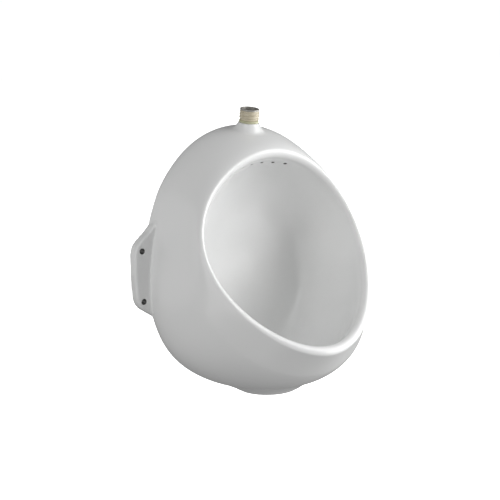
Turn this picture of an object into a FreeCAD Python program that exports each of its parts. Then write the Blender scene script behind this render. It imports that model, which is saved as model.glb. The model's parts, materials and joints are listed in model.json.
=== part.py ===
import FreeCAD, Part
import Sketcher, os, math
from FreeCAD import Vector, Placement, Rotation

# Wall hung urinal, millimetres.
# Frame: the wall is the plane y = 0, the front looks towards -Y, +Z is up.
# The origin is the centre of the four wall screw holes.
# In the china, "depth" means the distance from the wall, so y = -depth.

doc = FreeCAD.newDocument("urinal")

# ------------------------------------------------------------------ dimensions
sheet = doc.addObject("Spreadsheet::Sheet", "dims")
DIMS = [
    # wall outline of the outer shell: top and bottom height, half width, two shape harmonics
    ("wall_top_z", 236.2), ("wall_bottom_z", -189.5), ("wall_half_width", 188.3), ("wall_shape_two", -0.024), ("wall_shape_three", 0.015),
    # control sections of the outer shell
    ("skin_a_top_depth", 17.8), ("skin_a_top_z", 261.3), ("skin_a_bottom_depth", 24.4), ("skin_a_bottom_z", -210.5), ("skin_a_half_width", 203.3),
    ("skin_b_top_depth", 85.6), ("skin_b_top_z", 233.2), ("skin_b_bottom_depth", 209.0), ("skin_b_bottom_z", -236.1), ("skin_b_half_width", 183.1),
    ("skin_shape_two", -0.148), ("skin_shape_three", 0.12),
    # centre line of the rolled rim
    ("rim_top_depth", 109.9), ("rim_top_z", 206.1), ("rim_bottom_depth", 275.1), ("rim_bottom_z", -113.7), ("rim_half_width", 161.9),
    ("rim_shape_two", 0.003), ("rim_shape_three", -0.017), ("rim_bow", -40.0),
    ("rim_roll_top", 12.9), ("rim_roll_side", 8.0), ("rim_roll_bottom", 10.5),
    # bowl
    ("bowl_back_depth", 29.0), ("bowl_floor_z", -167.0), ("china_wall", 12.0), ("hollow_least_gap", 9.0),
    # flush chamber under the dome
    ("chamber_half_width", 78.0), ("chamber_floor_z", 172.0), ("chamber_back_depth", 26.0),
    ("wash_hole_dia", 4.6), ("wash_hole_pitch", 22.5), ("wash_hole_depth", 94.7), ("wash_hole_z", 183.6),
    # screw ears
    ("ear_hole_x", 199.0), ("ear_hole_dz", 87.6), ("ear_hole_dia", 10.2), ("ear_thick", 18.5), ("ear_edge_round", 5.0), ("ear_corner_round", 33.0),
    ("ear_side_x", 214.2), ("ear_corner_high_z", 48.4), ("ear_high_z", 111.6), ("ear_corner_low_z", 51.5), ("ear_low_z", 85.6),
    # foot with the outlet
    ("drain_depth", 100.0), ("foot_z", -215.7), ("foot_radius", 56.6), ("foot_taper", 2.5), ("recess_radius", 43.0), ("recess_top_z", -188.0),
    ("seat_z", -173.0), ("seat_radius", 37.0), ("drain_bore_radius", 25.5),
    # inlet axis: leans forward, datum on top of the china boss
    ("inlet_depth", 57.3), ("inlet_z", 252.3), ("inlet_lean", 10.0),
    ("boss_top_radius", 18.0), ("boss_mid_radius", 23.0), ("boss_base_radius", 34.0), ("boss_height", 23.0), ("inlet_bore_radius", 12.8),
    ("spud_thread_radius", 17.3), ("spud_root_radius", 15.9), ("spud_shank_radius", 10.0), ("spud_shank_bore", 7.6), ("spud_cup_bore", 14.2),
    ("spud_base_gap", 4.2), ("spud_thread_length", 17.2), ("spud_shank_length", 45.6), ("thread_pitch", 5.2), ("liner_thick", 1.0), ("lip_thick", 2.6), ("lip_radius", 16.9),
    ("grommet_collar_radius", 17.0), ("grommet_sleeve_radius", 12.5), ("grommet_sleeve_end", 30.0), ("grommet_foot_radius", 14.6), ("grommet_foot_end", 36.0),
    ("slip_thick", 1.5), ("slip_radius", 14.2), ("cone_nut_height", 8.0), ("cone_nut_flats", 29.0),
    # waste fitting
    ("waste_thread_radius", 23.9), ("waste_bore_radius", 20.4), ("waste_flange_radius", 34.5), ("waste_flange_thick", 3.4), ("waste_end_z", -218.7), ("waste_outlet_length", 14.0), ("waste_neck_radius", 23.5),
    ("waste_cup_radius", 29.0), ("waste_cup_depth", 2.2),
    ("top_gasket_thick", 2.6), ("bottom_gasket_thick", 4.5), ("bottom_gasket_radius", 36.0), ("waste_slip_thick", 1.6), ("locknut_height", 8.0), ("locknut_flats", 62.0),
    ("strainer_radius", 28.2), ("strainer_dome_radius", 23.0), ("strainer_dome_height", 9.5), ("strainer_thick", 1.6), ("strainer_hole_dia", 5.0),
]
for i, (name, value) in enumerate(DIMS):
    sheet.set("A%d" % (i + 1), name)
    sheet.set("B%d" % (i + 1), str(value))
    sheet.setAlias("B%d" % (i + 1), name)
doc.recompute()


def dim(name):
    return float(getattr(sheet, name))


# ------------------------------------------------------------------ freeform helpers
NT = 64
ANG = [2 * math.pi * j / NT for j in range(NT)]


def section(td, tz, bd, bz, a, h2=0.0, h3=0.0, bow=0.0):
    """Closed section curve: runs from its top point (depth td, height tz) round to its bottom point and back."""
    pts = []
    for t in ANG:
        w = (1 - math.cos(t)) / 2
        pts.append(Vector(a * (math.sin(t) + h2 * math.sin(2 * t) + h3 * math.sin(3 * t)),
                          -(td + (bd - td) * w + bow * math.sin(t) ** 2), tz + (bz - tz) * w))
    return pts


def blend(rows, weights):
    return [sum((r[j] * w for r, w in zip(rows, weights)), Vector()) for j in range(NT)]


def bezier(c0, c1, c2, c3, s):
    k = ((1 - s) ** 3, 3 * (1 - s) ** 2 * s, 3 * (1 - s) * s * s, s ** 3)
    return blend((c0, c1, c2, c3), k)


def periodic_poles(q):
    """Poles of the uniform closed cubic spline through the points q."""
    p = list(q)
    n = len(q)
    for _ in range(60):
        p = [(q[i] * 6 - p[i - 1] - p[(i + 1) % n]) * 0.25 for i in range(n)]
    return p


def solve(rows, rhs):
    n = len(rows)
    a = [list(r) for r in rows]
    b = [list(r) for r in rhs]
    for i in range(n):
        k = max(range(i, n), key=lambda r: abs(a[r][i]))
        a[i], a[k] = a[k], a[i]
        b[i], b[k] = b[k], b[i]
        for r in range(i + 1, n):
            f = a[r][i] / a[i][i]
            if f:
                for c in range(i, n):
                    a[r][c] -= f * a[i][c]
                b[r] = [y - x * f for y, x in zip(b[r], b[i])]
    out = [None] * n
    for i in range(n - 1, -1, -1):
        v = b[i]
        for c in range(i + 1, n):
            v = [y - x * a[i][c] for y, x in zip(v, out[c])]
        out[i] = [y * (1.0 / a[i][i]) for y in v]
    return out


def basis(knots, deg, i, u, last):
    if deg == 0:
        if knots[i] <= u < knots[i + 1] or (u == last and knots[i] < u <= knots[i + 1]):
            return 1.0
        return 0.0
    v = 0.0
    if knots[i + deg] > knots[i]:
        v += (u - knots[i]) / (knots[i + deg] - knots[i]) * basis(knots, deg - 1, i, u, last)
    if knots[i + deg + 1] > knots[i + 1]:
        v += (knots[i + deg + 1] - u) / (knots[i + deg + 1] - knots[i + 1]) * basis(knots, deg - 1, i + 1, u, last)
    return v


def closed_surface(stations):
    """Cubic surface through closed section curves, one after the other."""
    n = len(stations)
    par = [0.0]
    for a, b in zip(stations, stations[1:]):
        par.append(par[-1] + sum((q - p).Length for p, q in zip(a, b)) / NT)
    par = [p / par[-1] for p in par]
    full = [0.0] * 4 + [sum(par[j:j + 3]) / 3 for j in range(1, n - 3)] + [1.0] * 4
    rows = [[basis(full, 3, i, u, 1.0) for i in range(n)] for u in par]
    cols = [periodic_poles(s) for s in stations]
    poles = solve(rows, cols)
    knots = sorted(set(full))
    surf = Part.BSplineSurface()
    surf.buildFromPolesMultsKnots(poles, [4] + [1] * (len(knots) - 2) + [4], [1] * (NT + 1), knots,
                                  [float(i) for i in range(NT + 1)], False, True, 3, 3)
    return surf


def closed_solid(stations):
    """Solid between the first and last section, both flat, closed by plane faces; the side is split on the middle plane."""
    surf = closed_surface(stations)
    start = min(range(NT), key=lambda k: (surf.value(0.0, float(k)) - stations[0][0]).Length)
    sides = []
    for lo in (start, start + NT // 2):
        half = surf.copy()
        half.setVOrigin(start % NT + 1) if start else None
        half.segment(0.0, 1.0, float(lo), float(lo + NT // 2))
        sides.append(half.toShape())
    ends = []
    for row in (stations[0], stations[-1]):
        rim_edges = []
        for side in sides:
            for e in side.Edges:
                m = e.valueAt((e.FirstParameter + e.LastParameter) / 2)
                if min((m - row[NT // 4]).Length, (m - row[3 * NT // 4]).Length) < 0.5:
                    rim_edges.append(e)
        ends.append(Part.Face(Part.Wire(Part.__sortEdges__(rim_edges))))
    shell = Part.makeShell(sides + ends)
    shell.sewShape()
    solid = Part.makeSolid(shell)
    if solid.Volume < 0:
        shell.reverse()
        solid = Part.makeSolid(shell)
    return solid


def tangents(row):
    return [(row[(j + 1) % NT] - row[j - 1]).normalize() for j in range(NT)]


def offset_rows(rows, dist):
    """Sections moved square to the surface through them by dist."""
    out = []
    for i, row in enumerate(rows):
        a = rows[max(i - 1, 0)]
        b = rows[min(i + 1, len(rows) - 1)]
        tt = tangents(row)
        out.append([row[j] + tt[j].cross(b[j] - a[j]).normalize() * dist for j in range(NT)])
    return out


def resample(curves, count, first_step, last_slope):
    """Rows along the given profile curves (one list of points per angle): short steps first, smooth growth after."""
    rows = [[] for _ in range(count + 1)]
    for pts in curves:
        run = [0.0]
        for p, q in zip(pts, pts[1:]):
            run.append(run[-1] + (q - p).Length)
        total = run[-1]
        a = first_step * count / total
        c = last_slope + a - 2.0
        b = 3.0 - 2.0 * a - last_slope
        k = 0
        for i in range(count + 1):
            x = i / float(count)
            d = min(max(total * (a * x + b * x * x + c * x ** 3), 0.0), total)
            while k < len(run) - 2 and run[k + 1] < d:
                k += 1
            f = (d - run[k]) / (run[k + 1] - run[k])
            rows[i].append(pts[k] + (pts[k + 1] - pts[k]) * f)
    return rows


def open_spline(controls, samples):
    """Points along the clamped cubic spline with these control points."""
    n = len(controls)
    knots = [0.0] * 4 + [float(i) for i in range(1, n - 3)] + [float(n - 3)] * 4
    out = []
    for i in range(samples + 1):
        u = (n - 3) * i / float(samples)
        out.append(sum((controls[k] * w for k, w in ((k, basis(knots, 3, k, u, float(n - 3))) for k in range(n)) if w), Vector()))
    return out


# ------------------------------------------------------------------ china envelope
wall = section(0, dim("wall_top_z"), 0, dim("wall_bottom_z"), dim("wall_half_width"), dim("wall_shape_two"), dim("wall_shape_three"))
skin_a = section(dim("skin_a_top_depth"), dim("skin_a_top_z"), dim("skin_a_bottom_depth"), dim("skin_a_bottom_z"), dim("skin_a_half_width"),
                 dim("skin_shape_two"), dim("skin_shape_three"))
skin_b = section(dim("skin_b_top_depth"), dim("skin_b_top_z"), dim("skin_b_bottom_depth"), dim("skin_b_bottom_z"), dim("skin_b_half_width"),
                 (dim("skin_shape_two") + dim("rim_shape_two")) / 2, (dim("skin_shape_three") + dim("rim_shape_three")) / 2)
rim = section(dim("rim_top_depth"), dim("rim_top_z"), dim("rim_bottom_depth"), dim("rim_bottom_z"), dim("rim_half_width"),
              dim("rim_shape_two"), dim("rim_shape_three"), dim("rim_bow"))

# local directions on the rim line: "out" lies in the opening, away from its middle, "fwd" looks out of the opening
fall = Vector(0, dim("rim_top_depth") - dim("rim_bottom_depth"), dim("rim_bottom_z") - dim("rim_top_z")).normalize()
normal = Vector(0, fall.z, -fall.y)
if normal.y > 0:
    normal = normal * -1
mid = sum(rim, Vector()) * (1.0 / NT)
OUT, FWD, ROLL = [], [], []
for j, t in enumerate(tangents(rim)):
    o = t.cross(normal).normalize()
    if o.dot(rim[j] - mid) < 0:
        o = o * -1
    f = o.cross(t).normalize()
    if f.dot(normal) < 0:
        f = f * -1
    OUT.append(o)
    FWD.append(f)
    c = math.cos(ANG[j])
    other = dim("rim_roll_top") if c > 0 else dim("rim_roll_bottom")
    ROLL.append(dim("rim_roll_side") + (other - dim("rim_roll_side")) * c * c)


def roll_row(k):
    """Section of the rolled rim: starts outside in the soft groove and ends inside the bowl.
    Towards the top the shell flows into the roll without a groove."""
    row = []
    for j, t in enumerate(ANG):
        first = 12.0 + 36.0 * math.cos(t)
        a = math.radians(first + (190.0 - first) * k)
        row.append(rim[j] + (OUT[j] * math.cos(a) + FWD[j] * math.sin(a)) * ROLL[j])
    return row


edge = roll_row(0.0)
shell_rows = [bezier(wall, skin_a, skin_b, edge, 1 - i / 80.0) for i in range(81)]
skin = resample([[r[j] for r in shell_rows] for j in range(NT)], 14, 6.0, 0.6)[::-1]
skin[0] = [Vector(p.x, 0, p.z) for p in skin[0]]
roll = [roll_row(k / 7.0) for k in range(1, 8)]

# control sections of the bowl from just inside the roll to the small flat in the middle of the back wall:
# top depth, top z, bottom depth, bottom z, half width, harmonics, bow at the sides
floor_z = dim("bowl_floor_z")
back_d = dim("bowl_back_depth")
drain_d = dim("drain_depth")
BOWL = [
    (95.0, 186.0, 240.0, floor_z + 28.0, 150.0, 0.000, -0.020, -36.0),
    (80.0, 178.0, 208.0, floor_z + 6.0, 143.0, -0.004, -0.020, -32.0),
    (64.0, 165.0, 168.0, floor_z - 3.0, 136.0, -0.008, -0.024, -24.0),
    (52.0, 146.0, 128.0, floor_z - 4.0, 129.0, -0.012, -0.030, -14.0),
    (44.0, 124.0, drain_d - 18.0, floor_z - 3.0, 122.0, -0.016, -0.036, -4.0),
    (38.0, 104.0, 50.0, floor_z + 6.0, 117.0, -0.018, -0.036, 2.0),
    (35.5, 90.0, 38.0, floor_z + 36.0, 108.0, -0.018, -0.034, 2.0),
    (33.0, 66.0, 34.0, floor_z + 72.0, 88.0, -0.016, -0.024, 1.5),
    (30.5, 46.0, 31.0, floor_z + 106.0, 56.0, -0.008, 0.0, 1.0),
]
bowl_controls = [section(*b) for b in BOWL]
ring = section(back_d, 17.0, back_d, -7.0, 14.0)
near_ring = [Vector(p.x * 1.6, -back_d, 5.0 + (p.z - 5.0) * 1.6) for p in ring]
bowl_lines = []
for j in range(NT):
    lead = roll[-1][j] + (roll[-1][j] - roll[-2][j]).normalize() * 10.0
    bowl_lines.append(open_spline([roll[-1][j], lead] + [b[j] for b in bowl_controls] + [near_ring[j], ring[j]], 90))
bowl = resample(bowl_lines, 16, 6.0, 0.5)[1:]
envelope = doc.addObject("Part::Feature", "china_envelope")
envelope.Shape = closed_solid(skin + roll + bowl)

# space behind the bowl: the outer shell moved in by the wall, a turn behind the rim, then the bowl moved out by the wall
tw = dim("china_wall")
side_sign = -1.0 if offset_rows(skin, 1.0)[0][0].z > skin[0][0].z else 1.0
inner = offset_rows(skin, tw * side_sign)[:12]
inner[0] = [Vector(p.x, 0, p.z) for p in inner[0]]
behind = [Vector(p.x, 14.0, p.z) for p in inner[0]]
bowl_back = offset_rows([roll[-1]] + bowl, tw * side_sign)[2:-1]


def walk(pts, cuts):
    """Points at the given lengths along a broken line."""
    out = []
    run, k = 0.0, 0
    for d in cuts:
        while k < len(pts) - 2 and run + (pts[k + 1] - pts[k]).Length < d:
            run += (pts[k + 1] - pts[k]).Length
            k += 1
        out.append(pts[k] + (pts[k + 1] - pts[k]) * ((d - run) / (pts[k + 1] - pts[k]).Length))
    return out


def length(pts):
    return sum((q - p).Length for p, q in zip(pts, pts[1:]))


# both walls run towards the rim only as far as they stay apart by the least gap
least = dim("hollow_least_gap")
outer_lines, bowl_back_lines, outer_end, bowl_end = [], [], [], []
for j in range(NT):
    a = [r[j] for r in inner]
    b = [r[j] for r in bowl_back][::-1]
    la, lb = length(a), length(b)
    fa = walk(a, [la * i / 80.0 for i in range(81)])
    fb = walk(b, [lb * i / 80.0 for i in range(81)])
    ia = ib = 80
    for i in range(20, 81):
        near = min((fa[i] - fb[k]).Length for k in range(81))
        if near < least:
            ia = i
            break
    for k in range(20, 81):
        near = min((fb[k] - fa[i]).Length for i in range(81))
        if near < least:
            ib = k
            break
    outer_lines.append(a)
    bowl_back_lines.append(b)
    outer_end.append(min(la * ia / 80.0, la * 0.93))
    bowl_end.append(min(lb * ib / 80.0, lb * 0.97))
for _ in range(12):
    outer_end = [(outer_end[j - 1] + outer_end[j] * 2 + outer_end[(j + 1) % NT]) / 4 for j in range(NT)]
    bowl_end = [(bowl_end[j - 1] + bowl_end[j] * 2 + bowl_end[(j + 1) % NT]) / 4 for j in range(NT)]
front, turn, rear = [[] for _ in range(11)], [[], [], [], []], [[] for _ in range(13)]
for j in range(NT):
    for i, p in enumerate(walk(outer_lines[j], [outer_end[j] * i / 10.0 for i in range(11)])):
        front[i].append(p)
    for i, p in enumerate(walk(bowl_back_lines[j], [bowl_end[j] * i / 12.0 for i in range(13)])):
        rear[12 - i].append(p)
    p, q = front[-1][j], rear[0][j]
    reach = (q - p).Length * 0.6
    c1 = p + (p - front[-2][j]).normalize() * reach
    c2 = q + (q - rear[1][j]).normalize() * reach
    for i, s in enumerate((0.2, 0.4, 0.6, 0.8)):
        turn[i].append(p * (1 - s) ** 3 + c1 * (3 * (1 - s) ** 2 * s) + c2 * (3 * (1 - s) * s * s) + q * s ** 3)
front[0] = inner[0]
back_ring = [Vector(p.x, -(back_d - tw), p.z) for p in ring]
hollow = doc.addObject("Part::Feature", "china_hollow")
hollow.Shape = closed_solid([behind] + front + turn + rear + [back_ring])

# ------------------------------------------------------------------ helpers bound to the sheet
def worth(text):
    """Value and cell expression of a sum such as "seat_z + top_gasket_thick" or "0.5*locknut_flats"."""
    total, sign, out = 0.0, 1.0, []
    for word in str(text).split():
        if word in ("+", "-"):
            sign = 1.0 if word == "+" else -1.0
            out.append(word)
            continue
        factor, name = 1.0, word
        if "*" in word:
            factor, name = word.split("*")
            factor = float(factor)
        try:
            total += sign * factor * float(name)
            out.append(word)
        except ValueError:
            total += sign * factor * dim(name)
            out.append(("%s * " % factor if factor != 1.0 else "") + "dims." + name)
        sign = 1.0
    return total, " ".join(out)


def bind(obj, prop, text):
    obj.setExpression(prop, worth(text)[1])


def new_body(label):
    body = doc.addObject("PartDesign::Body", label)
    body.Label = label
    return body


def plane_of(body, role):
    for f in body.Origin.OriginFeatures:
        if f.Role == role:
            return f


def new_sketch(body, name, role):
    sk = body.newObject("Sketcher::SketchObject", name)
    sk.AttachmentSupport = [(plane_of(body, role), "")]
    sk.MapMode = "FlatFace"
    return sk


def outline(body, name, role, pts, arcs=None):
    """Closed outline; every corner is held by two lengths from the origin.
    arcs: {index of the side: (middle point, radius)} makes that side an arc."""
    sk = new_sketch(body, name, role)
    arcs = arcs or {}
    vals = [(worth(x)[0], worth(y)[0]) for x, y in pts]
    n = len(pts)
    ends = []
    for i in range(n):
        a, b = Vector(vals[i][0], vals[i][1], 0), Vector(vals[(i + 1) % n][0], vals[(i + 1) % n][1], 0)
        if i in arcs:
            g = sk.addGeometry(Part.Arc(a, Vector(arcs[i][0][0], arcs[i][0][1], 0), b), False)
            first_is_a = (sk.getPoint(g, 1) - a).Length < 1e-6
            ends.append((1, 2) if first_is_a else (2, 1))
        else:
            sk.addGeometry(Part.LineSegment(a, b), False)
            ends.append((1, 2))
    for i in range(n):
        k = (i + 1) % n
        sk.addConstraint(Sketcher.Constraint("Coincident", i, ends[i][1], k, ends[k][0]))
    for i, (x, y) in enumerate(pts):
        for kind, text, value, axis in (("DistanceX", x, vals[i][0], -2), ("DistanceY", y, vals[i][1], -1)):
            if abs(value) < 1e-9:
                sk.addConstraint(Sketcher.Constraint("PointOnObject", i, ends[i][0], axis))
            else:
                c = sk.addConstraint(Sketcher.Constraint(kind, -1, 1, i, ends[i][0], value))
                bind(sk, "Constraints[%d]" % c, text)
    for i in arcs:
        c = sk.addConstraint(Sketcher.Constraint("Radius", i, arcs[i][1]))
    return sk


def ring_sketch(body, name, role, circles):
    sk = new_sketch(body, name, role)
    for x, y, r in circles:
        g = sk.addGeometry(Part.Circle(Vector(worth(x)[0], worth(y)[0], 0), Vector(0, 0, 1), worth(r)[0]), False)
        for kind, text, axis in (("DistanceX", x, -2), ("DistanceY", y, -1)):
            if abs(worth(text)[0]) < 1e-9:
                sk.addConstraint(Sketcher.Constraint("PointOnObject", g, 3, axis))
            else:
                c = sk.addConstraint(Sketcher.Constraint(kind, -1, 1, g, 3, worth(text)[0]))
                bind(sk, "Constraints[%d]" % c, text)
        c = sk.addConstraint(Sketcher.Constraint("Radius", g, worth(r)[0]))
        bind(sk, "Constraints[%d]" % c, r)
    return sk


def revolve(body, name, pts, arcs=None):
    """Outline given as (radius, height), turned round the vertical axis of the body."""
    sk = outline(body, name + "_outline", "XZ_Plane", pts, arcs)
    rev = body.newObject("PartDesign::Revolution", name)
    rev.Profile = sk
    rev.ReferenceAxis = (sk, ["V_Axis"])
    rev.Angle = 360.0
    body.Tip = rev
    return rev


def cut_through(body, name, sketch, both=True, depth=None):
    p = body.newObject("PartDesign::Pocket", name)
    p.Profile = sketch
    if depth is None:
        p.Type = 1
        p.Midplane = both
    else:
        p.Type = 0
        bind(p, "Length", depth)
    body.Tip = p
    return p


def hexagon(body, name, flats, height, base):
    """Hexagonal block from the height base upwards."""
    c, s = "0.5773503*" + flats, "0.2886751*" + flats
    h = "0.5*" + flats
    sk = outline(body, name + "_outline", "XY_Plane",
                 [(c, "0"), (s, h), ("- " + s, h), ("- " + c, "0"), ("- " + s, "- " + h), (s, "- " + h)])
    bind(sk, "AttachmentOffset.Base.z", base)
    pad = body.newObject("PartDesign::Pad", name)
    pad.Profile = sk
    bind(pad, "Length", height)
    body.Tip = pad
    return pad


def bore(body, name, radius):
    """Round hole right through along the vertical axis."""
    return cut_through(body, name, ring_sketch(body, name + "_circle", "XY_Plane", [("0", "0", radius)]))


# ------------------------------------------------------------------ parts of the casting
INLET = Placement(Vector(0, -dim("inlet_depth"), dim("inlet_z")), Rotation(Vector(1, 0, 0), dim("inlet_lean")))

# screw ear: flat tab at the wall, softened on its front edge
ear = new_body("china_ear")
ear_sk = outline(ear, "ear_outline", "XZ_Plane",
                 [("140", "- ear_low_z"), ("ear_side_x - 54.2", "- ear_low_z"), ("ear_side_x - 2.8", "- ear_corner_low_z"), ("ear_side_x", "3"),
                  ("ear_side_x - 1.6", "ear_corner_high_z"), ("ear_side_x - 54.2", "ear_high_z"), ("140", "ear_high_z")])
ear_pad = ear.newObject("PartDesign::Pad", "ear_pad")
ear_pad.Profile = ear_sk
bind(ear_pad, "Length", "ear_thick")
ear.Tip = ear_pad
doc.recompute()
if ear_pad.Shape.BoundBox.YMax > 1:
    ear_pad.Reversed = True
    doc.recompute()


def edges_of(feature, test):
    return ["Edge%d" % (i + 1) for i, e in enumerate(feature.Shape.Edges) if test(e)]


def vertical_corner(e, x_from):
    b = e.BoundBox
    return b.YLength > 5 and b.XLength < 0.01 and b.ZLength < 0.01 and b.XMin > x_from


round_corner = ear.newObject("PartDesign::Fillet", "ear_corners")
round_corner.Base = (ear_pad, edges_of(ear_pad, lambda e: vertical_corner(e, 190)))
bind(round_corner, "Radius", "ear_corner_round")
ear.Tip = round_corner
doc.recompute()
soft = ear.newObject("PartDesign::Fillet", "ear_front_edge")
soft.Base = (round_corner, edges_of(round_corner, lambda e: e.BoundBox.YMax < -dim("ear_thick") + 0.01 and e.BoundBox.XMax > 150))
bind(soft, "Radius", "ear_edge_round")
ear.Tip = soft
doc.recompute()
ear_left = doc.addObject("Part::Mirroring", "china_ear_left")
ear_left.Source = ear
ear_left.Normal = Vector(1, 0, 0)

# boss round the water inlet, flaring into the dome
boss = new_body("china_boss")
boss.Placement = INLET
revolve(boss, "boss", [("0", "- boss_height - 10"), ("boss_base_radius", "- boss_height - 10"), ("boss_base_radius", "- boss_height"),
                       ("0.45*boss_base_radius + 0.55*boss_mid_radius", "- 0.66*boss_height"), ("boss_mid_radius", "- 0.36*boss_height"),
                       ("0.75*boss_top_radius + 0.25*boss_mid_radius", "- 0.14*boss_height"),
                       ("boss_top_radius", "0"), ("0", "0")])

# round foot under the bowl
foot = doc.addObject("Part::Cone", "china_foot")
bind(foot, "Radius1", "foot_radius")
bind(foot, "Radius2", "foot_radius + foot_taper")
bind(foot, "Height", "- foot_z - 186")
bind(foot, "Placement.Base.y", "- drain_depth")
bind(foot, "Placement.Base.z", "foot_z")


def cylinder(name, radius, low, height, y):
    c = doc.addObject("Part::Cylinder", name)
    bind(c, "Radius", radius)
    bind(c, "Height", height)
    bind(c, "Placement.Base.y", y)
    bind(c, "Placement.Base.z", low)
    return c


def box(name, x_low, x_len, y_low, y_len, z_low, z_len):
    b = doc.addObject("Part::Box", name)
    bind(b, "Length", x_len)
    bind(b, "Width", y_len)
    bind(b, "Height", z_len)
    bind(b, "Placement.Base.x", x_low)
    bind(b, "Placement.Base.y", y_low)
    bind(b, "Placement.Base.z", z_low)
    return b


# kept solid: round the drain, and the walls of the flush chamber
drain_block = cylinder("drain_block", "foot_radius + foot_taper", "foot_z", "seat_z + 12 - foot_z", "- drain_depth")
chamber_block = box("chamber_block", "- chamber_half_width - china_wall", "2*chamber_half_width + 2*china_wall", "- 150", "150 - chamber_back_depth + china_wall", "chamber_floor_z - china_wall", "100")
chamber_room = box("chamber_room", "- chamber_half_width", "2*chamber_half_width", "- 150", "150 - chamber_back_depth", "chamber_floor_z", "100")
keep = doc.addObject("Part::MultiFuse", "kept_solid")
keep.Shapes = [drain_block, chamber_block]
open_back = doc.addObject("Part::Cut", "open_back")
open_back.Base = hollow
open_back.Tool = keep
hollow_copy = doc.addObject("Part::Feature", "china_hollow_again")
hollow_copy.Shape = hollow.Shape.copy()
chamber = doc.addObject("Part::Common", "flush_chamber")
chamber.Base = hollow_copy
chamber.Tool = chamber_room

raw = doc.addObject("Part::MultiFuse", "china_raw")
raw.Shapes = [envelope, ear, ear_left, boss, foot]

# holes: inlet, drain seat and bore, recess under the foot, wash holes, screw holes
inlet_hole = doc.addObject("Part::Cylinder", "inlet_hole")
bind(inlet_hole, "Radius", "inlet_bore_radius")
inlet_hole.Height = 62.0
inlet_hole.Placement = INLET.multiply(Placement(Vector(0, 0, -60), Rotation()))
seat = cylinder("drain_seat", "seat_radius", "seat_z", "bowl_floor_z + 30 - seat_z", "- drain_depth")
drain_hole = cylinder("drain_hole", "drain_bore_radius", "foot_z", "seat_z + 1 - foot_z", "- drain_depth")
recess = cylinder("foot_recess", "recess_radius", "foot_z - 1", "recess_top_z - foot_z + 1", "- drain_depth")
tools = [inlet_hole, seat, drain_hole, recess]
for i in range(5):
    x = (i - 2) * dim("wash_hole_pitch")
    w = (1 - math.cos(math.asin(abs(x) / dim("rim_half_width")))) / 2
    h = doc.addObject("Part::Cylinder", "wash_hole_%d" % (i + 1))
    bind(h, "Radius", "0.5*wash_hole_dia")
    h.Height = 60.0
    y = -(dim("wash_hole_depth") + 0.0038 * x * x)
    z = dim("wash_hole_z") + (dim("rim_bottom_z") - dim("rim_top_z")) * w
    aim = Vector(0, 0.62, 0.78)
    h.Placement = Placement(Vector(x, y, z) - aim * 8.0, Rotation(Vector(0, 0, 1), aim))
    tools.append(h)
for sx in (-1, 1):
    for sz in (-1, 1):
        h = doc.addObject("Part::Cylinder", "screw_hole_%s_%s" % ("left" if sx < 0 else "right", "low" if sz < 0 else "high"))
        bind(h, "Radius", "0.5*ear_hole_dia")
        h.Height = 60.0
        h.Placement = Placement(Vector(0, 10, 0), Rotation(Vector(1, 0, 0), 90))
        bind(h, "Placement.Base.x", ("ear_hole_x" if sx > 0 else "- ear_hole_x"))
        bind(h, "Placement.Base.z", ("0.5*ear_hole_dz" if sz > 0 else "- 0.5*ear_hole_dz"))
        tools.append(h)
openings = doc.addObject("Part::MultiFuse", "china_openings")
openings.Shapes = tools
less_back = doc.addObject("Part::Cut", "china_less_back")
less_back.Base = raw
less_back.Tool = open_back
less_chamber = doc.addObject("Part::Cut", "china_less_chamber")
less_chamber.Base = less_back
less_chamber.Tool = chamber
china = doc.addObject("Part::Cut", "china_body")
china.Label = "china_body"
china.Base = less_chamber
china.Tool = openings
doc.recompute()

# ------------------------------------------------------------------ water inlet, heights from the top of the china boss
spud = new_body("inlet_spud")
spud.Placement = INLET
base = "spud_base_gap"
low = "spud_base_gap - spud_shank_length"
points = [("spud_shank_bore", low), ("spud_shank_radius", low), ("spud_shank_radius", base), ("spud_root_radius", base)]
for i in range(3):
    # three full ridges with flat crests
    at = base + " + %s*thread_pitch"
    points += [("spud_root_radius", at % (i + 0.08)), ("spud_thread_radius", at % (i + 0.26)), ("spud_thread_radius", at % (i + 0.66)), ("spud_root_radius", at % (i + 0.86))]
top = base + " + spud_thread_length"
points += [("spud_root_radius", top), ("spud_cup_bore", top), ("spud_cup_bore", base + " + 4"), ("spud_shank_bore", base + " + 4")]
revolve(spud, "spud", points[:3] + points[4:])

liner = new_body("inlet_liner")
liner.Placement = INLET
revolve(liner, "liner", [("spud_cup_bore - liner_thick", base + " + 4.2"), ("spud_cup_bore - 0.1", base + " + 4.2"), ("spud_cup_bore - 0.1", top),
                         ("lip_radius", top), ("lip_radius", top + " + 0.6*lip_thick"), ("lip_radius - 0.9", top + " + lip_thick"),
                         ("spud_cup_bore - liner_thick + 0.8", top + " + lip_thick"), ("spud_cup_bore - liner_thick", top + " + 0.6*lip_thick")])

grommet = new_body("inlet_grommet")
grommet.Placement = INLET
foot_top = "- grommet_sleeve_end"
revolve(grommet, "grommet", [("spud_shank_radius", "- grommet_foot_end"), ("grommet_foot_radius", "- grommet_foot_end"), ("grommet_foot_radius", "- grommet_sleeve_end - 2.5"),
                             ("grommet_sleeve_radius", foot_top), ("grommet_sleeve_radius", "0"), ("grommet_collar_radius", "0"),
                             ("grommet_collar_radius", base), ("spud_shank_radius", base)])

slip = new_body("inlet_slip_ring")
slip.Placement = INLET
revolve(slip, "slip", [("spud_shank_radius + 0.2", "- grommet_foot_end - slip_thick"), ("slip_radius", "- grommet_foot_end - slip_thick"),
                       ("slip_radius", "- grommet_foot_end"), ("spud_shank_radius + 0.2", "- grommet_foot_end")])

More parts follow.
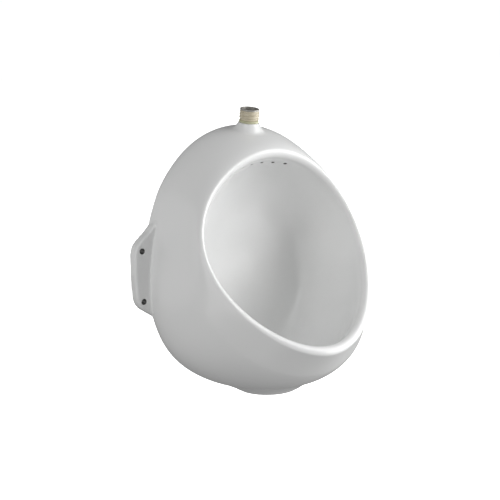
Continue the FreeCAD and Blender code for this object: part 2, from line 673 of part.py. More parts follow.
cone_nut = new_body("inlet_cone_nut")
cone_nut.Placement = INLET
hexagon(cone_nut, "nut_block", "cone_nut_flats", "0.5*cone_nut_height", "- grommet_foot_end - slip_thick - cone_nut_height")
revolve(cone_nut, "nut_collar", [("0", "- grommet_foot_end - slip_thick - 0.5*cone_nut_height - 0.5"), ("0.44*cone_nut_flats", "- grommet_foot_end - slip_thick - 0.5*cone_nut_height - 0.5"),
                                 ("0.44*cone_nut_flats", "- grommet_foot_end - slip_thick"), ("0", "- grommet_foot_end - slip_thick")])
bore(cone_nut, "nut_bore", "spud_shank_radius + 0.2")

# ------------------------------------------------------------------ waste fitting, heights from the origin
def waste(label):
    b = new_body(label)
    bind(b, "Placement.Base.y", "- drain_depth")
    return b


flange_low = "seat_z + top_gasket_thick"
flange_top = flange_low + " + waste_flange_thick"
cup = flange_top + " - waste_cup_depth"
tube = waste("waste_body")
revolve(tube, "tube", [("waste_bore_radius", "waste_end_z"), ("waste_thread_radius - 0.8", "waste_end_z"), ("waste_thread_radius", "waste_end_z + 0.8"),
                       ("waste_thread_radius", "waste_end_z + 0.8 + waste_outlet_length"), ("waste_neck_radius", "waste_end_z + 1.2 + waste_outlet_length"),
                       ("waste_neck_radius", flange_low), ("waste_flange_radius", flange_low), ("waste_flange_radius", flange_top + " - 1"),
                       ("waste_flange_radius - 1", flange_top), ("waste_cup_radius", flange_top), ("waste_cup_radius", cup), ("waste_bore_radius", cup)])

top_gasket = waste("waste_top_gasket")
revolve(top_gasket, "top_washer", [("waste_neck_radius + 0.3", "seat_z"), ("waste_flange_radius", "seat_z"), ("waste_flange_radius", flange_low), ("waste_neck_radius + 0.3", flange_low)])
bottom_gasket = waste("waste_bottom_gasket")
low_face = "recess_top_z - bottom_gasket_thick"
revolve(bottom_gasket, "bottom_washer", [("waste_neck_radius + 0.3", low_face), ("bottom_gasket_radius", low_face), ("bottom_gasket_radius", "recess_top_z - 1.5"),
                                         ("bottom_gasket_radius - 3", "recess_top_z"), ("waste_neck_radius + 0.3", "recess_top_z")])
friction = waste("waste_slip_ring")
revolve(friction, "friction_washer", [("waste_neck_radius + 0.5", low_face + " - waste_slip_thick"), ("bottom_gasket_radius", low_face + " - waste_slip_thick"),
                                      ("bottom_gasket_radius", low_face), ("waste_neck_radius + 0.5", low_face)])
locknut = waste("waste_locknut")
hexagon(locknut, "locknut_block", "locknut_flats", "locknut_height", low_face + " - waste_slip_thick - locknut_height")
bore(locknut, "locknut_bore", "waste_neck_radius + 0.5")

# loose domed grid in the cup of the flange
strainer = waste("drain_strainer")
rd, hd, td = dim("strainer_dome_radius"), dim("strainer_dome_height"), dim("strainer_thick")
plate = worth(cup)[0]
r_out = ((rd + 0.6) ** 2 + hd ** 2) / (2 * hd)
r_in = ((rd - 0.6) ** 2 + hd ** 2) / (2 * hd)
half_out = math.asin((rd + 0.6) / r_out) / 2
half_in = math.asin((rd - 0.6) / r_in) / 2
z_out, z_in = plate + td + hd - r_out, plate + hd - r_in
revolve(strainer, "grid", [("strainer_dome_radius - 0.6", cup), ("strainer_radius", cup), ("strainer_radius", cup + " + strainer_thick"), ("strainer_dome_radius + 0.6", cup + " + strainer_thick"),
                           ("0", cup + " + strainer_thick + strainer_dome_height"), ("0", cup + " + strainer_dome_height")],
        {3: ((r_out * math.sin(half_out), z_out + r_out * math.cos(half_out)), r_out),
         5: ((r_in * math.sin(half_in), z_in + r_in * math.cos(half_in)), r_in)})
bore(strainer, "middle_hole", "0.5*strainer_hole_dia")
for count, radius in ((6, 9.6), (12, 17.8)):
    hole = cut_through(strainer, "hole_of_%d" % count, ring_sketch(strainer, "hole_of_%d_circle" % count, "XY_Plane", [(str(radius), "0", "0.5*strainer_hole_dia")]))
    doc.recompute()
    turn_round = strainer.newObject("PartDesign::PolarPattern", "ring_of_%d" % count)
    turn_round.Originals = [hole]
    turn_round.Axis = (plane_of(strainer, "Z_Axis"), [""])
    turn_round.Angle = 360.0
    turn_round.Occurrences = count
    strainer.Tip = turn_round
    doc.recompute()

doc.recompute()

# ------------------------------------------------------------------ write one file per piece
NODES = [china, spud, liner, grommet, slip, cone_nut, strainer, tube, top_gasket, bottom_gasket, friction, locknut]
for o in doc.Objects:
    if "Invalid" in o.State or "Error" in o.State:
        raise RuntimeError("not computed: %s %s" % (o.Name, o.State))
os.makedirs("parts", exist_ok=True)
for o in NODES:
    s = o.Shape
    if s.isNull() or not s.isValid() or len(s.Solids) != 1:
        raise RuntimeError("bad shape: %s" % o.Label)
    s.exportStep("parts/%s.step" % o.Label)
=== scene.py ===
import json
import math
import bmesh
import bpy
import numpy as np
from mathutils import Matrix, Vector
from mathutils.bvhtree import BVHTree


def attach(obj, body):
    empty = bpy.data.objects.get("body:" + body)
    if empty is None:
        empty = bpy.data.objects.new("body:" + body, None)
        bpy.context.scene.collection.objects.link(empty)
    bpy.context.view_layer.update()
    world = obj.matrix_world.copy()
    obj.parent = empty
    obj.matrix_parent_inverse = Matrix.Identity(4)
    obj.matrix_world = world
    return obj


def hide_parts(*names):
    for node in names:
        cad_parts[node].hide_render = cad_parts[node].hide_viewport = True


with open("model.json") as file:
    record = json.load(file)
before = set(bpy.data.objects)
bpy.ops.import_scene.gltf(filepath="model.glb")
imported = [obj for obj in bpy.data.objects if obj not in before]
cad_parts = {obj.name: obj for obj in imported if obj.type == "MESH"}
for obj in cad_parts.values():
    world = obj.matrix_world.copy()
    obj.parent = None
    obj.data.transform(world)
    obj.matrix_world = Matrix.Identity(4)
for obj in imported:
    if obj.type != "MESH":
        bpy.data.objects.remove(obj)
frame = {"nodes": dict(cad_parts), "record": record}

scene = bpy.context.scene
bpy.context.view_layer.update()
nodes = frame["nodes"]
ROOT = "urinal"
MM = 0.001

# ------------------------------------------------------------------ camera, as in the photograph
AZ, EL, TURN = math.radians(36.5), math.radians(11.2), math.radians(-1.0)
DIST = 2.2306
fw = Vector((math.sin(AZ) * math.cos(EL), math.cos(AZ) * math.cos(EL), -math.sin(EL)))
rt = Vector((math.cos(AZ), -math.sin(AZ), 0))
up = rt.cross(fw)
rt2 = rt * math.cos(TURN) + up * math.sin(TURN)
up2 = up * math.cos(TURN) - rt * math.sin(TURN)
cam_data = bpy.data.cameras.new("camera")
cam_data.sensor_width = 36.0
cam_data.lens = 1300.0 / 500.0 * 36.0
cam_data.shift_x = -(279.7 - 250.0) / 500.0
cam_data.shift_y = (267.3 - 250.0) / 500.0
cam_data.clip_end = 60.0
camera = bpy.data.objects.new("camera", cam_data)
scene.collection.objects.link(camera)
at = Vector((0, -0.140, 0.0084)) - fw * DIST
m = Matrix((rt2, up2, -fw)).transposed().to_4x4()
m.translation = at
camera.matrix_world = m
scene.camera = camera

# ------------------------------------------------------------------ the china surfaces, in millimetres
NT = 64
ANG = np.arange(NT) * 2 * math.pi / NT


def section(td, tz, bd, bz, a, h2=0.0, h3=0.0, bow=0.0):
    w = (1 - np.cos(ANG)) / 2
    x = a * (np.sin(ANG) + h2 * np.sin(2 * ANG) + h3 * np.sin(3 * ANG))
    y = -(td + (bd - td) * w + bow * np.sin(ANG) ** 2)
    return np.stack([x, y, tz + (bz - tz) * w], 1)


def unit(v):
    return v / np.linalg.norm(v, axis=-1, keepdims=True)


def tangents(row):
    return unit(np.roll(row, -1, 0) - np.roll(row, 1, 0))


def basis_rows(knots, n, us):
    """Values of the n cubic B-splines at each u, one row per u."""
    out = np.zeros((len(us), n))
    last = knots[-1]
    for r, u in enumerate(us):
        level = [1.0 if (knots[i] <= u < knots[i + 1]) or (u >= last and knots[i] < last <= knots[i + 1]) else 0.0 for i in range(len(knots) - 1)]
        for d in (1, 2, 3):
            nxt = []
            for i in range(len(knots) - 1 - d):
                v = 0.0
                if knots[i + d] > knots[i]:
                    v += (u - knots[i]) / (knots[i + d] - knots[i]) * level[i]
                if knots[i + d + 1] > knots[i + 1]:
                    v += (knots[i + d + 1] - u) / (knots[i + d + 1] - knots[i + 1]) * level[i + 1]
                nxt.append(v)
            level = nxt
        out[r] = level[:n]
    return out


def closed_poles(stations):
    p = stations.copy()
    for _ in range(80):
        for i in range(NT):
            p[:, i] = (stations[:, i] * 6 - p[:, i - 1] - p[:, (i + 1) % NT]) * 0.25
    return p


def dense(stations, per_row, per_angle):
    """Fine grid on the cubic surface through the closed sections."""
    s = np.array(stations)
    n = len(s)
    par = [0.0]
    for a, b in zip(s, s[1:]):
        par.append(par[-1] + np.linalg.norm(b - a, axis=1).mean())
    par = np.array(par) / par[-1]
    knots = [0.0] * 4 + [sum(par[j:j + 3]) / 3 for j in range(1, n - 3)] + [1.0] * 4
    poles = np.linalg.solve(basis_rows(knots, n, par), closed_poles(s).reshape(n, -1)).reshape(n, NT, 3)
    us = np.concatenate([np.linspace(par[i], par[i + 1], per_row, endpoint=False) for i in range(n - 1)] + [[1.0]])
    rows = np.tensordot(basis_rows(knots, n, us), poles, 1)
    t = np.arange(NT * per_angle) / per_angle
    k, f = np.floor(t).astype(int), (t - np.floor(t))[None, :, None]
    return (rows[:, (k - 1) % NT] * (1 - f) ** 3 + rows[:, k % NT] * (3 * f ** 3 - 6 * f * f + 4)
            + rows[:, (k + 1) % NT] * (-3 * f ** 3 + 3 * f * f + 3 * f + 1) + rows[:, (k + 2) % NT] * f ** 3) / 6


def resample(curves, count, first_step, last_slope):
    rows = [[] for _ in range(count + 1)]
    for pts in curves:
        run = np.concatenate([[0.0], np.cumsum(np.linalg.norm(np.diff(pts, axis=0), axis=1))])
        total = run[-1]
        a = first_step * count / total
        c, b = last_slope + a - 2.0, 3.0 - 2.0 * a - last_slope
        for i in range(count + 1):
            x = i / count
            d = min(max(total * (a * x + b * x * x + c * x ** 3), 0.0), total)
            rows[i].append([np.interp(d, run, pts[:, q]) for q in range(3)])
    return [np.array(r) for r in rows]


wall = section(0, 236.2, 0, -189.5, 188.3, -0.024, 0.015)
skin_a = section(17.8, 261.3, 24.4, -210.5, 203.3, -0.148, 0.12)
skin_b = section(85.6, 233.2, 209.0, -236.1, 183.1, (-0.148 + 0.003) / 2, (0.12 - 0.017) / 2)
rim = section(109.9, 206.1, 275.1, -113.7, 161.9, 0.003, -0.017, -40.0)
fall = unit(np.array([0, 109.9 - 275.1, -113.7 - 206.1]))
normal = np.array([0, fall[2], -fall[1]])
if normal[1] > 0:
    normal = -normal
T = tangents(rim)
OUT = unit(np.cross(T, normal))
OUT *= np.sign(((rim - rim.mean(0)) * OUT).sum(1))[:, None]
FWD = unit(np.cross(OUT, T))
FWD *= np.sign((FWD * normal).sum(1))[:, None]
COS = np.cos(ANG)
ROLL = 8.0 + (np.where(COS > 0, 12.9, 10.5) - 8.0) * COS ** 2
first = np.radians(12.0 + 36.0 * COS)


def roll_row(k):
    a = first + (math.radians(190.0) - first) * k
    return rim + (OUT * np.cos(a)[:, None] + FWD * np.sin(a)[:, None]) * ROLL[:, None]


edge = roll_row(0.0)
shell = []
for i in range(81):
    s = 1 - i / 80.0
    shell.append(wall * (1 - s) ** 3 + skin_a * 3 * (1 - s) ** 2 * s + skin_b * 3 * (1 - s) * s * s + edge * s ** 3)
shell = np.array(shell)
skin = resample([shell[:, j] for j in range(NT)], 14, 6.0, 0.6)[::-1]
skin[0] = skin[0] * np.array([1, 0, 1])
roll = [roll_row(k / 7.0) for k in range(1, 8)]
FLOOR_Z, BACK, DRAIN = -167.0, 29.0, 100.0
BOWL = [
    (95.0, 186.0, 240.0, FLOOR_Z + 28.0, 150.0, 0.000, -0.020, -36.0),
    (80.0, 178.0, 208.0, FLOOR_Z + 6.0, 143.0, -0.004, -0.020, -32.0),
    (64.0, 165.0, 168.0, FLOOR_Z - 3.0, 136.0, -0.008, -0.024, -24.0),
    (52.0, 146.0, 128.0, FLOOR_Z - 4.0, 129.0, -0.012, -0.030, -14.0),
    (44.0, 124.0, DRAIN - 18.0, FLOOR_Z - 3.0, 122.0, -0.016, -0.036, -4.0),
    (38.0, 104.0, 50.0, FLOOR_Z + 6.0, 117.0, -0.018, -0.036, 2.0),
    (35.5, 90.0, 38.0, FLOOR_Z + 36.0, 108.0, -0.018, -0.034, 2.0),
    (33.0, 66.0, 34.0, FLOOR_Z + 72.0, 88.0, -0.016, -0.024, 1.5),
    (30.5, 46.0, 31.0, FLOOR_Z + 106.0, 56.0, -0.008, 0.0, 1.0),
]
controls = [section(*b) for b in BOWL]
ring = section(BACK, 17.0, BACK, -7.0, 14.0)
near_ring = np.stack([ring[:, 0] * 1.6, ring[:, 1], 5.0 + (ring[:, 2] - 5.0) * 1.6], 1)
lead = roll[-1] + unit(roll[-1] - roll[-2]) * 10.0
ctrl = np.array([roll[-1], lead] + controls + [near_ring, ring])
nc = len(ctrl)
ck = [0.0] * 4 + [float(i) for i in range(1, nc - 3)] + [float(nc - 3)] * 4
lines = np.tensordot(basis_rows(ck, nc, [(nc - 3) * i / 90.0 for i in range(91)]), ctrl, 1)
bowl = resample([lines[:, j] for j in range(NT)], 16, 6.0, 0.5)[1:]
OUTER = dense(skin + roll + bowl, 10, 10)          # rows x angles x 3


def grid_tree(grid):
    r, c, _ = grid.shape
    i = np.arange(r * c).reshape(r, c)
    j = np.roll(i, -1, 1)
    quads = np.stack([i[:-1], j[:-1], j[1:], i[1:]], -1).reshape(-1, 4)
    return BVHTree.FromPolygons([Vector(p) for p in grid.reshape(-1, 3)], [tuple(int(k) for k in q) for q in quads])


tree = grid_tree(OUTER)

# the groove behind the rolled rim, softened as glaze fills it
SOFT = OUTER.copy()
run = np.concatenate([np.zeros((1, SOFT.shape[1])), np.cumsum(np.linalg.norm(np.diff(SOFT, axis=0), axis=2), axis=0)])
away = np.abs(run - run[140])
behind_roll = run[140] - run
wide = np.where(behind_roll > 0, 30.0, 8.5)
weight = 0.49 * np.exp(-(away / wide) ** 4)[81:210, :, None]
part = SOFT[80:211]
for _ in range(1300):
    part[1:-1] += ((part[2:] + part[:-2]) / 2 - part[1:-1]) * weight
soft_tree = grid_tree(SOFT)


# ------------------------------------------------------------------ mesh helpers
def new_object(name, mesh, body=ROOT, smooth=True):
    o = bpy.data.objects.new(name, mesh)
    scene.collection.objects.link(o)
    if smooth:
        mesh.polygons.foreach_set("use_smooth", [True] * len(mesh.polygons))
    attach(o, body)
    return o


def coords(mesh):
    a = np.zeros(len(mesh.vertices) * 3)
    mesh.vertices.foreach_get("co", a)
    return a.reshape(-1, 3)


def set_coords(mesh, a):
    mesh.vertices.foreach_set("co", a.reshape(-1).astype(np.float32))
    mesh.update()


def copy_of(node):
    """A welded copy of a CAD mesh."""
    bm = bmesh.new()
    bm.from_mesh(nodes[node].data)
    bmesh.ops.remove_doubles(bm, verts=bm.verts, dist=0.00001)
    mesh = bpy.data.meshes.new(node + "_skin")
    bm.to_mesh(mesh)
    bm.free()
    mesh.materials.clear()
    return mesh


def apply_modifiers(o):
    dg = bpy.context.evaluated_depsgraph_get()
    mesh = bpy.data.meshes.new_from_object(o.evaluated_get(dg))
    old = o.data
    o.modifiers.clear()
    o.data = mesh
    bpy.data.meshes.remove(old)


def smooth_pass(a, edges, weight, times, amount=0.5):
    """Moves points towards the middle of their neighbours, more where weight is larger."""
    n = len(a)
    count = np.bincount(edges.ravel(), minlength=n)[:, None]
    for _ in range(times):
        s = np.zeros_like(a)
        for q in range(3):
            s[:, q] = np.bincount(edges[:, 0], a[edges[:, 1], q], n) + np.bincount(edges[:, 1], a[edges[:, 0], q], n)
        a = a + (s / np.maximum(count, 1) - a) * (amount * weight)[:, None]
    return a


def edge_array(mesh):
    e = np.zeros(len(mesh.edges) * 2, np.int64)
    mesh.edges.foreach_get("vertices", e)
    return e.reshape(-1, 2)


def step(x, lo, hi):
    t = np.clip((x - lo) / (hi - lo), 0, 1)
    return t * t * (3 - 2 * t)


# ------------------------------------------------------------------ china: one soft slip-cast skin
VOXEL = 0.0014
china = new_object("china_glazed", copy_of("china_body"))
mod = china.modifiers.new("remesh", "REMESH")
mod.mode = "VOXEL"
mod.voxel_size = VOXEL
mod.adaptivity = 0.0
apply_modifiers(china)
a = coords(china.data) * 1000.0
edges = edge_array(china.data)
near = np.zeros((len(a), 3))
gap = np.zeros(len(a))


def lowered(q):
    """The top of the ears sits a little lower on the soft skin than in the plain one."""
    q = np.array(q, float)
    z = q[..., 2]
    drop = 13.0 * step(z, 52.0, 104.0) * (1 - step(z, 122.0, 195.0)) * step(q[..., 1], -75.0, -35.0) * step(np.abs(q[..., 0]), 90.0, 130.0)
    q[..., 2] = z - drop
    return q


low_a = lowered(a)
moved = np.abs(low_a - a).max(axis=1) > 1e-6
for i, p in enumerate(a):
    hit = tree.find_nearest(Vector(p), 12.0)
    if hit[0] is None:
        near[i], gap[i] = p, 12.0
        continue
    spot = hit[0]
    if moved[i]:
        # the whole wall slides along the surface, the free part of the ear goes straight down
        spot = tree.find_nearest(Vector(lowered(spot)))[0]
        w = float(step(hit[3], 3.0, 12.0))
        low_a[i] = (p + np.array(spot - hit[0])) * (1 - w) + low_a[i] * w
    near[i], gap[i] = soft_tree.find_nearest(spot)[0], hit[3]
# points close to where the ears, the foot and the inlet boss leave the shell are softened
ear = (np.abs(a[:, 0]) > 120) & (a[:, 1] > -34) & (a[:, 2] > -105) & (a[:, 2] < 125)
added = ear | (a[:, 2] < -190) | ((np.hypot(a[:, 0], a[:, 1] + 60) < 52) & (a[:, 2] > 215))
spread = (added & (gap >= 0.6)).astype(float)
for _ in range(int(6.0 / (VOXEL * 1000))):
    grown = spread.copy()
    np.maximum.at(grown, edges[:, 0], spread[edges[:, 1]])
    np.maximum.at(grown, edges[:, 1], spread[edges[:, 0]])
    spread = grown
blend = spread * (gap < 7.0) * added
blend = np.clip(smooth_pass(np.repeat(blend[:, None], 3, 1), edges, np.ones(len(a)), 4)[:, 0], 0, 1)
a2 = smooth_pass(low_a, edges, np.full(len(a), 0.35), 3)
strength = np.where(ear, 0.2, 1.0)
a2 = smooth_pass(a2, edges, blend * strength, int(30 * 0.0014 / VOXEL) + 4)
from_drain = np.hypot(a[:, 0], a[:, 1] + 100.0)
foot = (1 - step(a[:, 2], -196, -178)) * step(from_drain, 40.0, 50.0) * (1 - step(from_drain, 85.0, 105.0))
some = foot[edges].max(axis=1) > 0
used, back_to = np.unique(edges[some], return_inverse=True)
a2[used] = smooth_pass(a2[used], back_to.reshape(-1, 2), foot[used], int(160 * 0.0014 / VOXEL) + 4)
# the shell runs down to the foot in a wide soft fillet
flare = (1 - step(from_drain, 56.0, 92.0)) * step(from_drain, 44.0, 54.0) * np.clip((a[:, 2] + 213.0) / 14.0, 0, 1) * (1 - step(a[:, 2], -186, -176))
a2[:, 2] -= 5.5 * flare
blend = np.maximum(blend, foot)
pull = ((1 - step(gap, 0.35, 0.9)) * (1 - np.clip(blend * 1.6, 0, 1)))[:, None]
out = a2 * (1 - pull) + near * pull
for sx in (-199.0, 199.0):
    for sz in (-43.8, 43.8):
        d = out[:, [0, 2]] - np.array([sx, sz])
        r = np.hypot(d[:, 0], d[:, 1])
        wall_of = (r > 2.5) & (r < 6.1) & (out[:, 1] > -17.7) & (out[:, 1] < -0.8)
        out[np.ix_(wall_of, [0, 2])] = np.array([sx, sz]) + d[wall_of] / r[wall_of, None] * 5.1
# the five wash holes under the top of the rim: middles and the common direction
WASH = []
for wx in (-45.0, -22.5, 0.0, 22.5, 45.0):
    drop = (1 - math.cos(math.asin(abs(wx) / 161.9))) / 2
    WASH.append((wx, -(94.7 + 0.0038 * wx * wx), 183.6 - 319.8 * drop))
aim = unit(np.array([0, 0.62, 0.78]))
for h in WASH:
    d = out - np.array(h)
    along = d @ aim
    perp = d - along[:, None] * aim
    r = np.linalg.norm(perp, axis=1)
    tunnel = (r > 0.6) & (r < 3.4) & (gap > 0.6) & (along > -8) & (along < 18)
    out[tunnel] = np.array(h) + along[tunnel, None] * aim + perp[tunnel] / r[tunnel, None] * 2.3
out[np.abs(a[:, 1]) < 0.4, 1] = 0.0
set_coords(china.data, out / 1000.0)
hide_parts("china_body")


# ------------------------------------------------------------------ turned pieces of the inlet
LEAN = math.radians(10.0)


def at_inlet(r, z, t):
    """Point of the leaning inlet axis system in the frame, metres."""
    x, y = r * np.cos(t), r * np.sin(t)
    return np.stack([x, -57.3 + y * math.cos(LEAN) - z * math.sin(LEAN), 252.3 + y * math.sin(LEAN) + z * math.cos(LEAN)], -1) * MM


def turned(name, node, profile, wave=None, seg=192):
    """Closed profile (radius, height) turned round the inlet axis; wave changes the radius with height and angle."""
    pr = np.array(profile)
    t = np.arange(seg) * 2 * math.pi / seg
    R, Z, A = pr[:, 0][:, None] + t * 0, pr[:, 1][:, None] + t * 0, t[None] + pr[:, :1] * 0
    if wave is not None:
        R = wave(R, Z, A)
    pts = at_inlet(R, Z, A).reshape(-1, 3)
    n = len(pr)
    faces = []
    for i in range(n):
        k = (i + 1) % n
        for j in range(seg):
            q = (j + 1) % seg
            faces.append((i * seg + j, i * seg + q, k * seg + q, k * seg + j))
    me = bpy.data.meshes.new(name)
    me.from_pydata([tuple(p) for p in pts], [], faces)
    o = new_object(name, me)
    bm = bmesh.new()
    bm.from_mesh(me)
    bmesh.ops.recalc_face_normals(bm, faces=bm.faces)
    for e in bm.edges:
        if len(e.link_faces) == 2 and e.calc_face_angle(0) > math.radians(38):
            e.smooth = False
    bm.to_mesh(me)
    bm.free()
    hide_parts(node)
    return o


def rounded(points, radius, parts=5):
    """The closed outline with its corners rounded."""
    out = []
    n = len(points)
    for i in range(n):
        a, b, c = (np.array(points[k % n], float) for k in (i - 1, i, i + 1))
        u, v = a - b, c - b
        lu, lv = np.linalg.norm(u), np.linalg.norm(v)
        r = min(radius[i] if isinstance(radius, (list, tuple)) else radius, lu * 0.45, lv * 0.45)
        p, q = b + u / lu * r, b + v / lv * r
        for k in range(parts + 1):
            s = k / parts
            out.append(p * (1 - s) ** 2 + b * 2 * s * (1 - s) + q * s * s)
    return out


def thread(R, Z, A):
    """One soft coarse thread between the collar and the lip."""
    z0, z1, pitch = 4.2, 21.4, 5.2
    phase = (Z - z0) / pitch - A / (2 * math.pi)
    wave = 0.5 - 0.5 * np.cos(2 * math.pi * phase)
    wave = np.clip(wave * 1.25, 0, 1) ** 0.8
    fade = step(Z, z0 + 0.4, z0 + 2.4) * (1 - step(Z, z1 - 3.2, z1 - 1.0))
    band = (R > 15.5) & (Z > z0 + 0.05) & (Z < z1 - 0.02)
    return np.where(band, 15.9 + 1.38 * wave * fade, R)


low, base, top = 4.2 - 45.6, 4.2, 21.4
outer = [(15.9, z) for z in np.linspace(base + 0.35, top - 0.35, 70)]
spud = [(7.6, low + 0.6), (8.2, low), (9.5, low), (10.0, low + 0.5), (10.0, base), (15.6, base)] + outer
spud += [(15.6, top), (14.5, top), (14.2, top - 0.3), (14.2, base + 4.6), (13.6, base + 4.1), (8.1, base + 4.0), (7.6, base + 3.6)]
inlet_spud = turned("inlet_spud_threaded", "inlet_spud", spud, thread)
lip = rounded([(13.2, 8.4), (14.1, 8.4), (14.1, top), (16.9, top), (16.9, top + 2.6), (13.2, top + 2.6)], [0.3, 0.3, 0.2, 0.5, 1.1, 1.0])
inlet_liner = turned("inlet_liner_lip", "inlet_liner", lip)
collar = rounded([(10.0, -36.0), (14.6, -36.0), (14.6, -32.5), (12.5, -30.0), (12.5, 0.0), (17.0, 0.0), (17.0, base), (10.0, base)],
                 [0.2, 1.2, 1.2, 1.5, 0.3, 1.0, 1.6, 0.2])
inlet_grommet = turned("inlet_grommet_soft", "inlet_grommet", collar)


# ------------------------------------------------------------------ materials
class Mat:
    """A small helper round one node tree."""

    def __init__(self, name):
        self.m = bpy.data.materials.new(name)
        self.m.use_nodes = True
        self.t = self.m.node_tree
        self.b = self.t.nodes["Principled BSDF"]
        self.co = self.add("ShaderNodeTexCoord").outputs["Object"]

    def add(self, kind, **values):
        n = self.t.nodes.new(kind)
        for k, v in values.items():
            setattr(n, k, v)
        return n

    def link(self, a, b):
        self.t.links.new(a, b)

    def noise(self, scale, detail=4.0, rough=0.5, stretch=None):
        n = self.add("ShaderNodeTexNoise")
        n.inputs["Scale"].default_value = scale
        n.inputs["Detail"].default_value = detail
        n.inputs["Roughness"].default_value = rough
        src = self.co
        if stretch:
            mp = self.add("ShaderNodeMapping")
            mp.inputs["Scale"].default_value = stretch
            self.link(src, mp.inputs["Vector"])
            src = mp.outputs["Vector"]
        self.link(src, n.inputs["Vector"])
        return n.outputs["Fac"]

    def ramp(self, fac, stops):
        r = self.add("ShaderNodeValToRGB")
        while len(r.color_ramp.elements) < len(stops):
            r.color_ramp.elements.new(0.5)
        for e, (p, c) in zip(r.color_ramp.elements, stops):
            e.position = p
            e.color = (*c, 1) if len(c) == 3 else c
        self.link(fac, r.inputs["Fac"])
        return r.outputs["Color"]

    def span(self, fac, lo, hi, frm=(0.0, 1.0)):
        r = self.add("ShaderNodeMapRange")
        r.inputs["From Min"].default_value, r.inputs["From Max"].default_value = frm
        r.inputs["To Min"].default_value, r.inputs["To Max"].default_value = lo, hi
        self.link(fac, r.inputs["Value"])
        return r.outputs["Result"]

    def mix(self, fac, a, b, mode="MIX"):
        x = self.add("ShaderNodeMix", data_type="RGBA", blend_type=mode)
        for sock, v in ((x.inputs[0], fac), (x.inputs[6], a), (x.inputs[7], b)):
            if hasattr(v, "is_linked"):
                self.link(v, sock)
            else:
                sock.default_value = v if not isinstance(v, tuple) or len(v) == 4 else (*v, 1)
        return x.outputs[2]

    def bump(self, *layers):
        last = None
        for fac, strength, dist in layers:
            b = self.add("ShaderNodeBump")
            b.inputs["Strength"].default_value = strength
            b.inputs["Distance"].default_value = dist
            self.link(fac, b.inputs["Height"])
            if last:
                self.link(last, b.inputs["Normal"])
            last = b.outputs["Normal"]
        self.link(last, self.b.inputs["Normal"])

    def const(self, **v):
        for k, x in v.items():
            self.b.inputs[k.replace("_", " ")].default_value = x


def china_material():
    s = Mat("vitreous_china")
    tone = s.ramp(s.noise(5.0, 3.0), [(0.3, (0.735, 0.74, 0.738)), (0.7, (0.765, 0.767, 0.762))])
    speck = s.ramp(s.noise(420.0, 2.0), [(0.28, (0.86, 0.86, 0.85)), (0.36, (1, 1, 1))])
    glaze = s.mix(0.25, tone, speck, "MULTIPLY")
    # painted shade: a near-black colour inside the drilled holes so the bores read dark; seats are (x, z, radius, y
    # from, y to)
    xyz = s.add("ShaderNodeSeparateXYZ")
    s.link(s.co, xyz.inputs[0])

    def calc(kind, a, b):
        n = s.add("ShaderNodeMath", operation=kind)
        for sock, v in zip(n.inputs, (a, b)):
            if hasattr(v, "is_linked"):
                s.link(v, sock)
            else:
                sock.default_value = v
        return n.outputs[0]

    side = calc("ABSOLUTE", xyz.outputs[0], 0.0)
    tall = calc("ABSOLUTE", xyz.outputs[2], 0.0)
    r = calc("SQRT", calc("ADD", calc("POWER", calc("SUBTRACT", side, 0.199), 2.0), calc("POWER", calc("SUBTRACT", tall, 0.0438), 2.0)), 0.0)
    inside = s.span(r, 1.0, 0.0, (0.0051, 0.0060))
    depth = s.span(xyz.outputs[1], 0.0, 1.0, (-0.0182, -0.0172))
    hole_shade_mask = calc("MULTIPLY", inside, depth)
    # the five wash holes get the same painted shade along their bores
    for x, y, z in WASH:
        dx, dy, dz = (calc("SUBTRACT", xyz.outputs[i], v * MM) for i, v in enumerate((x, y, z)))
        across = calc("SUBTRACT", calc("MULTIPLY", dy, 0.7828), calc("MULTIPLY", dz, 0.6223))
        r = calc("SQRT", calc("ADD", calc("POWER", dx, 2.0), calc("POWER", across, 2.0)), 0.0)
        h = calc("MULTIPLY", s.span(r, 1.0, 0.0, (0.0024, 0.0034)), s.span(calc("ABSOLUTE", dz, 0.0), 1.0, 0.0, (0.012, 0.014)))
        hole_shade_mask = calc("MAXIMUM", hole_shade_mask, h)
    # painted shade colour for the inside of the holes, with slight random variation
    painted_hole_shade = s.ramp(s.noise(240.0, 3.0), [(0.3, (0.05, 0.048, 0.045)), (0.7, (0.10, 0.095, 0.09))])
    # the painted hole shade replaces the glaze colour where the hole mask is high
    s.link(s.mix(hole_shade_mask, glaze, painted_hole_shade), s.b.inputs["Base Color"])
    s.link(s.span(s.noise(14.0, 5.0), 0.19, 0.262), s.b.inputs["Roughness"])
    s.bump((s.noise(9.0, 2.0), 0.12, 0.0012), (s.noise(160.0, 3.0), 0.03, 0.0002))
    s.const(IOR=1.5, Coat_Weight=0.12, Coat_Roughness=0.14, Coat_IOR=1.5)
    return s.m


def plastic(name, lo, hi, rough=(0.3, 0.45), grain=700.0, strength=0.12):
    s = Mat(name)
    s.link(s.ramp(s.noise(90.0, 5.0), [(0.3, lo), (0.7, hi)]), s.b.inputs["Base Color"])
    s.link(s.span(s.noise(180.0, 4.0), *rough), s.b.inputs["Roughness"])
    s.bump((s.noise(grain, 4.0), strength, 0.0002))
    s.const(IOR=1.49)
    return s.m


def metal(name, lo, hi, rough, stretch=(1, 1, 30), scale=60.0, metallic=1.0):
    s = Mat(name)
    brush = s.noise(scale, 5.0, 0.6, stretch)
    s.link(s.ramp(brush, [(0.3, lo), (0.7, hi)]), s.b.inputs["Base Color"])
    s.link(s.span(brush, *rough), s.b.inputs["Roughness"])
    s.bump((brush, 0.05, 0.0001))
    s.const(Metallic=metallic)
    return s.m


def rubber(name, lo, hi):
    s = Mat(name)
    s.link(s.ramp(s.noise(120.0, 6.0), [(0.3, lo), (0.7, hi)]), s.b.inputs["Base Color"])
    s.link(s.span(s.noise(200.0, 4.0), 0.5, 0.7), s.b.inputs["Roughness"])
    s.bump((s.noise(900.0, 5.0), 0.2, 0.0002))
    return s.m


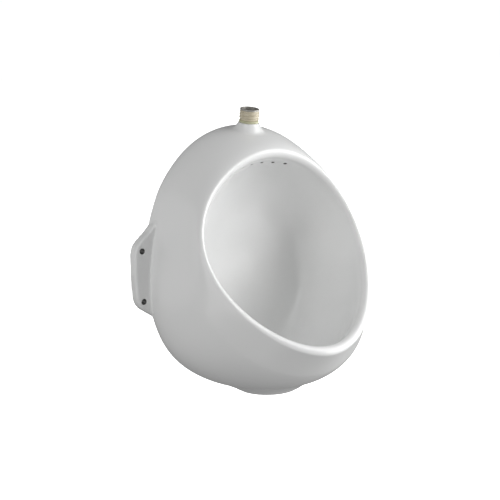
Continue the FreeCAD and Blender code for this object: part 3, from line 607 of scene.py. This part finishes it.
MATS = {
    "china": china_material(),
    "cream_plastic": plastic("cream_plastic", (0.47, 0.42, 0.31), (0.57, 0.52, 0.40)),
    "lip_metal": metal("lip_metal", (0.30, 0.29, 0.27), (0.42, 0.41, 0.38), (0.44, 0.58), metallic=0.6),
    "seal_rubber": rubber("seal_rubber", (0.41, 0.41, 0.26), (0.49, 0.48, 0.33)),
    "black_rubber": rubber("black_rubber", (0.02, 0.02, 0.02), (0.04, 0.04, 0.04)),
    "white_plastic": plastic("white_plastic", (0.78, 0.78, 0.75), (0.85, 0.85, 0.83), (0.35, 0.5)),
    "outlet_metal": metal("plated_metal", (0.70, 0.70, 0.70), (0.82, 0.82, 0.83), (0.08, 0.2)),
    "grid_metal": metal("grid_metal", (0.60, 0.60, 0.59), (0.74, 0.74, 0.73), (0.2, 0.35)),
}
slots = {s["node"]: s["material_slot"] for s in frame["record"]["subparts"]}


def dress(o, mat):
    o.data.materials.clear()
    o.data.materials.append(mat)


for name, o in nodes.items():
    dress(o, MATS[slots[name]])
dress(china, MATS["china"])
for o, slot in ((inlet_spud, "cream_plastic"), (inlet_liner, "lip_metal"), (inlet_grommet, "seal_rubber")):
    dress(o, MATS[slot])

# ------------------------------------------------------------------ floor, backdrop and light
def plain(name, colour, rough=0.9):
    mt = bpy.data.materials.new(name)
    mt.use_nodes = True
    b = mt.node_tree.nodes["Principled BSDF"]
    b.inputs["Base Color"].default_value = (*colour, 1)
    b.inputs["Roughness"].default_value = rough
    return mt


def sheet(name, corners, mat):
    me = bpy.data.meshes.new(name)
    me.from_pydata(corners, [], [(0, 1, 2, 3)])
    o = bpy.data.objects.new(name, me)
    scene.collection.objects.link(o)
    me.materials.append(mat)
    return o


floor_z = -0.42
floor_mat = plain("floor_white", (0.9, 0.9, 0.9))
floor_mat.node_tree.nodes["Principled BSDF"].inputs["Emission Color"].default_value = (1, 1, 1, 1)
floor_mat.node_tree.nodes["Principled BSDF"].inputs["Emission Strength"].default_value = 1.5
floor = sheet("floor", [(-14, -14, floor_z), (14, -14, floor_z), (14, 14, floor_z), (-14, 14, floor_z)], floor_mat)
floor.visible_diffuse = False
floor.visible_glossy = False
floor.visible_shadow = False        # two of the lamps stand lower than the floor


def area(name, place, aim, size, power, colour=(1, 1, 1), size_y=None):
    d = bpy.data.lights.new(name, "AREA")
    d.shape = "RECTANGLE"
    d.size = size
    d.size_y = size_y or size
    d.energy = power
    d.color = colour
    o = bpy.data.objects.new(name, d)
    scene.collection.objects.link(o)
    o.location = place
    o.rotation_euler = (Vector(aim) - Vector(place)).to_track_quat("-Z", "Y").to_euler()
    return o


mid = Vector((0, -0.12, 0.02))
# large soft boxes round the object: name, angle to the right of the front, height angle, power, size
for name, turn, rise, power, size in (
        ("right_front", 44, 4, 27.0, 1.3), ("right_side", 75, 5, 21.5, 1.3), ("right_high", 50, 38, 18.5, 1.3), ("right_low", 45, -33, 8.0, 1.4),
        ("left_high", -58, 36, 12.0, 1.5), ("left_side", -80, 3, 12.0, 1.8), ("left_low", -30, -38, 3.0, 1.5), ("left_back", -140, 5, 2.6, 1.3)):
    t, r = math.radians(turn), math.radians(rise)
    area(name, mid + Vector((math.sin(t) * math.cos(r), -math.cos(t) * math.cos(r), math.sin(r))) * 2.2, mid, size, power)

world = bpy.data.worlds.new("world")
scene.world = world
world.use_nodes = True
wt = world.node_tree
bg = wt.nodes["Background"]
seen = wt.nodes.new("ShaderNodeLightPath")
wx = wt.nodes.new("ShaderNodeMix")
wx.data_type = "RGBA"
wt.links.new(seen.outputs["Is Camera Ray"], wx.inputs[0])
wx.inputs[6].default_value = (0.215, 0.215, 0.215, 1)
wx.inputs[7].default_value = (1.02, 1.02, 1.02, 1)
wt.links.new(wx.outputs[2], bg.inputs["Color"])
bg.inputs["Strength"].default_value = 1.0
scene.view_settings.view_transform = "Standard"
